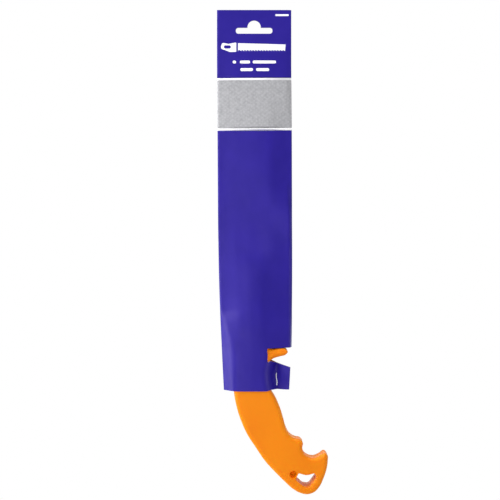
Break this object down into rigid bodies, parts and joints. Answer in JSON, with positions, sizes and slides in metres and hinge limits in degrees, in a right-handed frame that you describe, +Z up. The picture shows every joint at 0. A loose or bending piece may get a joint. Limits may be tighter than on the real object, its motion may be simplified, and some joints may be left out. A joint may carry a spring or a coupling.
{
  "type": "pull saw in hang sleeve",
  "caption": "Straight pull saw for plastic pipe with an orange pistol grip, held in a printed card sleeve with a hang slot and a stapled corner.",
  "frame": {"origin": "top of the arch of the hang slot, midway through the card, where a display peg bears", "axes": "+Z up along the sleeve, +X towards the teeth and the guard, -Y out of the printed front"},
  "size_m": [0.0942, 0.021, 0.4114],
  "materials": {
    "card": "satin printed board",
    "staple_wire": "bright",
    "blade_steel": "ground",
    "handle_plastic": "fine moulded texture",
    "zinc_fasteners": "zinc plated"
  },
  "bodies": {
    "sleeve": {"sleeve_front": "card", "sleeve_back": "card", "sleeve_glue_flap": "card", "sleeve_corner_front": "card", "sleeve_corner_back": "card", "staple": "staple_wire"},
    "saw": {"blade": "blade_steel", "handle_front": "handle_plastic", "handle_back": "handle_plastic", "blade_screw_upper": "zinc_fasteners", "blade_screw_lower": "zinc_fasteners", "blade_nut_upper": "zinc_fasteners", "blade_nut_lower": "zinc_fasteners", "handle_screw_top": "zinc_fasteners", "handle_screw_grip": "zinc_fasteners", "handle_screw_butt": "zinc_fasteners"}
  },
  "joints": [
    {"name": "saw_draw", "type": "slide", "parent": "sleeve", "child": "saw", "axis": [0, 0, -1], "range_m": [0, 0.285], "deforming": ["sleeve_corner_front", "sleeve_corner_back", "staple"]}
  ]
}
